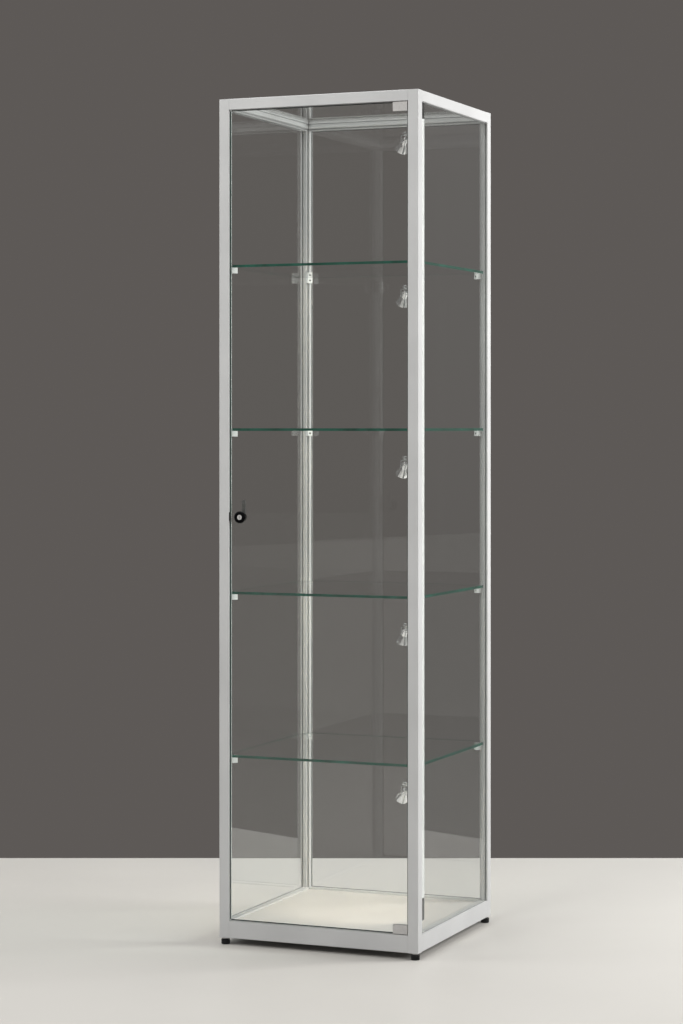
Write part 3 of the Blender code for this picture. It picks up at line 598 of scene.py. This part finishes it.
def add_lamps(glow, lens_glass):
    """The lamp and the lens in each spotlight's bowl, and the light that it gives."""
    for spot in SPOTS:
        pivot, direction = head_axis(spot)
        body = f"spot_{spot}_head"
        radius = LAMP_DOME_RADIUS
        dome = [(0.0, 0.0)] + [
            (radius * math.cos(math.radians(angle)), radius * math.sin(math.radians(angle)))
            for angle in range(0, 90, 15)
        ]
        dome.append((0.0, radius))
        place = towards(direction, pivot + direction * DOME_FROM_PIVOT)
        piece = place_mesh(f"lamp_{spot}", turned(dome, 24), place, glow, body, smooth=True)
        lens = turned(
            [
                (0.0, 0.0),
                (LENS_RADIUS, 0.0),
                (LENS_RADIUS, 0.0008),
                (LENS_RADIUS * 0.6, 0.0014),
                (0.0, 0.0017),
            ],
            32,
        )
        place = towards(direction, pivot + direction * LENS_FROM_PIVOT)
        piece = place_mesh(f"lens_{spot}", lens, place, lens_glass, body, smooth=True)
        lamp = bpy.data.lights.new(f"lamp_light_{spot}", "SPOT")
        lamp.energy = LAMP_WATTS
        lamp.color = LAMP_COLOUR
        lamp.spot_size = math.radians(LAMP_BEAM_DEG)
        lamp.spot_blend = 0.8
        lamp.shadow_soft_size = 0.01
        holder = bpy.data.objects.new(f"lamp_light_{spot}", lamp)
        bpy.context.scene.collection.objects.link(holder)
        holder.matrix_world = towards(-direction, pivot + direction * LIGHT_FROM_PIVOT)
        holder.visible_glossy = False
        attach(holder, body)


# Studio and camera.


def add_floor():
    """A pale floor that ends behind the case, square to the camera."""
    surface = Surface("floor_pale")
    grain = surface.noise(3.0, 4.0)
    surface.set(
        Base_Color=surface.colours(grain, (0.40, 0.385, 0.36), (0.44, 0.425, 0.40)),
        Roughness=surface.spread(surface.noise(60.0, 3.0), 0.38, 0.5),
    )
    bm = bmesh.new()
    bmesh.ops.create_grid(bm, x_segments=1, y_segments=1, size=0.5)
    mesh = bpy.data.meshes.new("floor")
    bm.to_mesh(mesh)
    bm.free()
    mesh.materials.append(surface.material)
    floor = bpy.data.objects.new("floor", mesh)
    bpy.context.scene.collection.objects.link(floor)
    turn = Matrix.Rotation(math.radians(CAMERA_AIM_DEG), 4, "Z")
    middle = (0.0, FLOOR_BEHIND - FLOOR_LENGTH / 2, case_low.z)
    size = Matrix.Diagonal((FLOOR_WIDTH, FLOOR_LENGTH, 1.0, 1.0))
    floor.matrix_world = turn @ Matrix.Translation(middle) @ size
    floor.visible_glossy = False


def add_soft_light(name, azimuth_deg, distance, height, aim, size, energy):
    """A rectangular soft light that stands round the case and is aimed at a height on it.

    Azimuth 0 is in front, and 90 on the right. It lights the case but is never seen or mirrored itself.
    """
    light = bpy.data.lights.new(name, "AREA")
    light.shape = "RECTANGLE"
    light.size, light.size_y = size
    light.energy = energy
    angle = math.radians(azimuth_deg)
    place = Vector((distance * math.sin(angle), -distance * math.cos(angle), height))
    target = Vector((0.0, 0.0, aim))
    holder = bpy.data.objects.new(name, light)
    bpy.context.scene.collection.objects.link(holder)
    holder.matrix_world = towards(place - target, place)
    holder.visible_camera = False
    holder.visible_transmission = False
    holder.visible_glossy = False


def add_world():
    """A plain grey backdrop for the camera, and a room, brightest overhead, that lights the case.

    Only the backdrop is seen, directly or through glass. The room shows in reflections.
    """
    world = bpy.data.worlds.new("studio")
    world.use_nodes = True
    tree = world.node_tree
    backdrop = tree.nodes["Background"]
    backdrop.inputs["Color"].default_value = (*BACKGROUND, 1.0)
    room = tree.nodes.new("ShaderNodeBackground")
    direction = tree.nodes.new("ShaderNodeTexCoord")
    parts = tree.nodes.new("ShaderNodeSeparateXYZ")
    ramp = tree.nodes.new("ShaderNodeValToRGB")
    for position, _ in ROOM_LEVELS[1:-1]:
        ramp.color_ramp.elements.new(position)
    for element, (position, level) in zip(ramp.color_ramp.elements, ROOM_LEVELS):
        element.position = position
        element.color = (level, level, level * 0.99, 1.0)
    lifted = tree.nodes.new("ShaderNodeMapRange")
    lifted.inputs["From Min"].default_value = -1.0
    seen = tree.nodes.new("ShaderNodeLightPath")
    either = tree.nodes.new("ShaderNodeMath")
    either.operation = "MAXIMUM"
    mix = tree.nodes.new("ShaderNodeMixShader")
    tree.links.new(direction.outputs["Generated"], parts.inputs["Vector"])
    tree.links.new(parts.outputs["Z"], lifted.inputs["Value"])
    tree.links.new(lifted.outputs["Result"], ramp.inputs["Fac"])
    tree.links.new(ramp.outputs["Color"], room.inputs["Color"])
    tree.links.new(seen.outputs["Is Camera Ray"], either.inputs[0])
    tree.links.new(seen.outputs["Is Transmission Ray"], either.inputs[1])
    tree.links.new(either.outputs[0], mix.inputs["Fac"])
    tree.links.new(room.outputs[0], mix.inputs[1])
    tree.links.new(backdrop.outputs[0], mix.inputs[2])
    tree.links.new(mix.outputs[0], tree.nodes["World Output"].inputs["Surface"])
    bpy.context.scene.world = world
    bpy.context.scene.view_settings.view_transform = "Standard"


def add_studio():
    """The key and fill lights for the front, a strong one for the right side, and a faint one overhead."""
    middle = case_height / 2
    add_soft_light("key_front", -6, distance=3.4, height=3.2, aim=1.75, size=(1.1, 1.4), energy=66)
    add_soft_light("fill_left", -60, distance=3.6, height=2.3, aim=1.5, size=(1.2, 2.0), energy=44)
    add_soft_light("side_right", 112, distance=3.0, height=1.7, aim=1.5, size=(1.2, 1.8), energy=155)
    add_soft_light("overhead", 0, distance=0.6, height=4.2, aim=middle, size=(2.2, 2.2), energy=5)


def add_camera():
    """A level camera whose shift, not its tilt, puts the case in the picture."""
    place = math.radians(CAMERA_PLACE_DEG)
    camera = bpy.data.cameras.new("camera")
    camera.lens = CAMERA_LENS_MM
    camera.sensor_width = 36.0
    camera.shift_y = CAMERA_SHIFT_Y
    camera.clip_start = 0.05
    camera.clip_end = 60.0
    holder = bpy.data.objects.new("camera", camera)
    bpy.context.scene.collection.objects.link(holder)
    holder.location = (CAMERA_DISTANCE * math.sin(place), -CAMERA_DISTANCE * math.cos(place), CAMERA_HEIGHT)
    holder.rotation_euler = (math.pi / 2, 0.0, math.radians(CAMERA_AIM_DEG))
    bpy.context.scene.camera = holder


black_plastic, satin_nickel = paint_case()
dark_metal = polished_metal("dark_metal", (0.05, 0.05, 0.05), (0.09, 0.09, 0.09), 0.3)
rubber = moulded_plastic("rubber_seal", (0.22, 0.22, 0.22), (0.28, 0.28, 0.28), 0.55)
# Near-black finish of the door's edge strips: painted shade of the gaps round the door.
gap_shade_dark = moulded_plastic("painted_gap_shade", (0.012, 0.014, 0.013), (0.022, 0.024, 0.023), 0.5)
add_clip_screws(dark_metal)
add_seals(rubber)
add_door_gap_shade(gap_shade_dark)
add_lock_trim(dark_metal)
add_hinge_screws(dark_metal)
add_foot_nuts(satin_nickel)
add_cover_ends(black_plastic)
add_lamps(lamp_glow("lamp_phosphor", 6.0), clear_glass("lens_glass", "Z"))
add_floor()
add_world()
add_studio()
add_camera()
